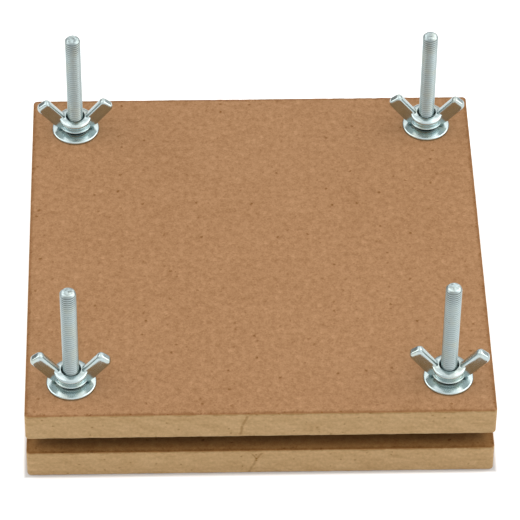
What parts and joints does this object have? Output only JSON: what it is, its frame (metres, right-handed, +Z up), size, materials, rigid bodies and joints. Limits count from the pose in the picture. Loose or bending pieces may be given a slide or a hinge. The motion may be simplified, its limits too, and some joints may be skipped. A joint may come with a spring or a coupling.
{
  "type": "flower press",
  "caption": "Square flower press: fibreboard plates over a stack of corrugated cardboard and blotting paper, clamped at the corners by threaded bolts with washers and wing nuts.",
  "frame": {"origin": "middle of the footprint, on the surface that the press stands on", "axes": "+Z up along the bolts, -Y the front as pictured, +X to the right"},
  "size_m": [0.17, 0.17, 0.0774],
  "materials": {
    "fibreboard": "bare sanded medium-density fibreboard",
    "zinc_plate": "bright zinc-plated steel",
    "cardboard": "corrugated kraft cardboard",
    "blotting_paper": "soft white blotting paper"
  },
  "bodies": {
    "base": {"bottom_board": "fibreboard", "carriage_bolt_front_left": "zinc_plate", "carriage_bolt_front_right": "zinc_plate", "carriage_bolt_back_left": "zinc_plate", "carriage_bolt_back_right": "zinc_plate"},
    "cardboard_bottom": {"cardboard_bottom": "cardboard"},
    "blotter_1": {"blotter_1": "blotting_paper"},
    "blotter_2": {"blotter_2": "blotting_paper"},
    "cardboard_middle": {"cardboard_middle": "cardboard"},
    "blotter_3": {"blotter_3": "blotting_paper"},
    "blotter_4": {"blotter_4": "blotting_paper"},
    "cardboard_top": {"cardboard_top": "cardboard"},
    "top_board": {"top_board": "fibreboard"},
    "washer_front_left": {"washer_front_left": "zinc_plate"},
    "wing_nut_front_left": {"wing_nut_front_left": "zinc_plate"},
    "washer_front_right": {"washer_front_right": "zinc_plate"},
    "wing_nut_front_right": {"wing_nut_front_right": "zinc_plate"},
    "washer_back_left": {"washer_back_left": "zinc_plate"},
    "wing_nut_back_left": {"wing_nut_back_left": "zinc_plate"},
    "washer_back_right": {"washer_back_right": "zinc_plate"},
    "wing_nut_back_right": {"wing_nut_back_right": "zinc_plate"}
  },
  "joints": [
    {"name": "cardboard_bottom_lift", "type": "slide", "parent": "base", "child": "cardboard_bottom", "axis": [0, 0, 1], "range_m": [0, 0.005]},
    {"name": "blotter_1_lift", "type": "slide", "parent": "cardboard_bottom", "child": "blotter_1", "axis": [0, 0, 1], "range_m": [0, 0.005]},
    {"name": "blotter_2_lift", "type": "slide", "parent": "blotter_1", "child": "blotter_2", "axis": [0, 0, 1], "range_m": [0, 0.005]},
    {"name": "cardboard_middle_lift", "type": "slide", "parent": "blotter_2", "child": "cardboard_middle", "axis": [0, 0, 1], "range_m": [0, 0.005]},
    {"name": "blotter_3_lift", "type": "slide", "parent": "cardboard_middle", "child": "blotter_3", "axis": [0, 0, 1], "range_m": [0, 0.005]},
    {"name": "blotter_4_lift", "type": "slide", "parent": "blotter_3", "child": "blotter_4", "axis": [0, 0, 1], "range_m": [0, 0.005]},
    {"name": "cardboard_top_lift", "type": "slide", "parent": "blotter_4", "child": "cardboard_top", "axis": [0, 0, 1], "range_m": [0, 0.005]},
    {"name": "top_board_lift", "type": "slide", "parent": "cardboard_top", "child": "top_board", "axis": [0, 0, 1], "range_m": [0, 0.06]},
    {"name": "washer_front_left_lift", "type": "slide", "parent": "top_board", "child": "washer_front_left", "axis": [0, 0, 1], "range_m": [0, 0.045]},
    {"name": "wing_nut_front_left_turn", "type": "hinge", "parent": "washer_front_left", "child": "wing_nut_front_left", "pos_m": [-0.06825, -0.06825, 0.0327], "axis": [0, 0, 1], "range_deg": [0, 16236]},
    {"name": "washer_front_right_lift", "type": "slide", "parent": "top_board", "child": "washer_front_right", "axis": [0, 0, 1], "range_m": [0, 0.045]},
    {"name": "wing_nut_front_right_turn", "type": "hinge", "parent": "washer_front_right", "child": "wing_nut_front_right", "pos_m": [0.06825, -0.06825, 0.0327], "axis": [0, 0, 1], "range_deg": [0, 16236]},
    {"name": "washer_back_left_lift", "type": "slide", "parent": "top_board", "child": "washer_back_left", "axis": [0, 0, 1], "range_m": [0, 0.045]},
    {"name": "wing_nut_back_left_turn", "type": "hinge", "parent": "washer_back_left", "child": "wing_nut_back_left", "pos_m": [-0.06825, 0.06825, 0.0327], "axis": [0, 0, 1], "range_deg": [0, 16236]},
    {"name": "washer_back_right_lift", "type": "slide", "parent": "top_board", "child": "washer_back_right", "axis": [0, 0, 1], "range_m": [0, 0.045]},
    {"name": "wing_nut_back_right_turn", "type": "hinge", "parent": "washer_back_right", "child": "wing_nut_back_right", "pos_m": [0.06825, 0.06825, 0.0327], "axis": [0, 0, 1], "range_deg": [0, 16236]}
  ],
  "couplings": [
    {"joint": "wing_nut_front_left_turn", "follows": "washer_front_left_lift", "rad_per_m": 6283.2},
    {"joint": "wing_nut_front_right_turn", "follows": "washer_front_right_lift", "rad_per_m": 6283.2},
    {"joint": "wing_nut_back_left_turn", "follows": "washer_back_left_lift", "rad_per_m": 6283.2},
    {"joint": "wing_nut_back_right_turn", "follows": "washer_back_right_lift", "rad_per_m": 6283.2}
  ]
}
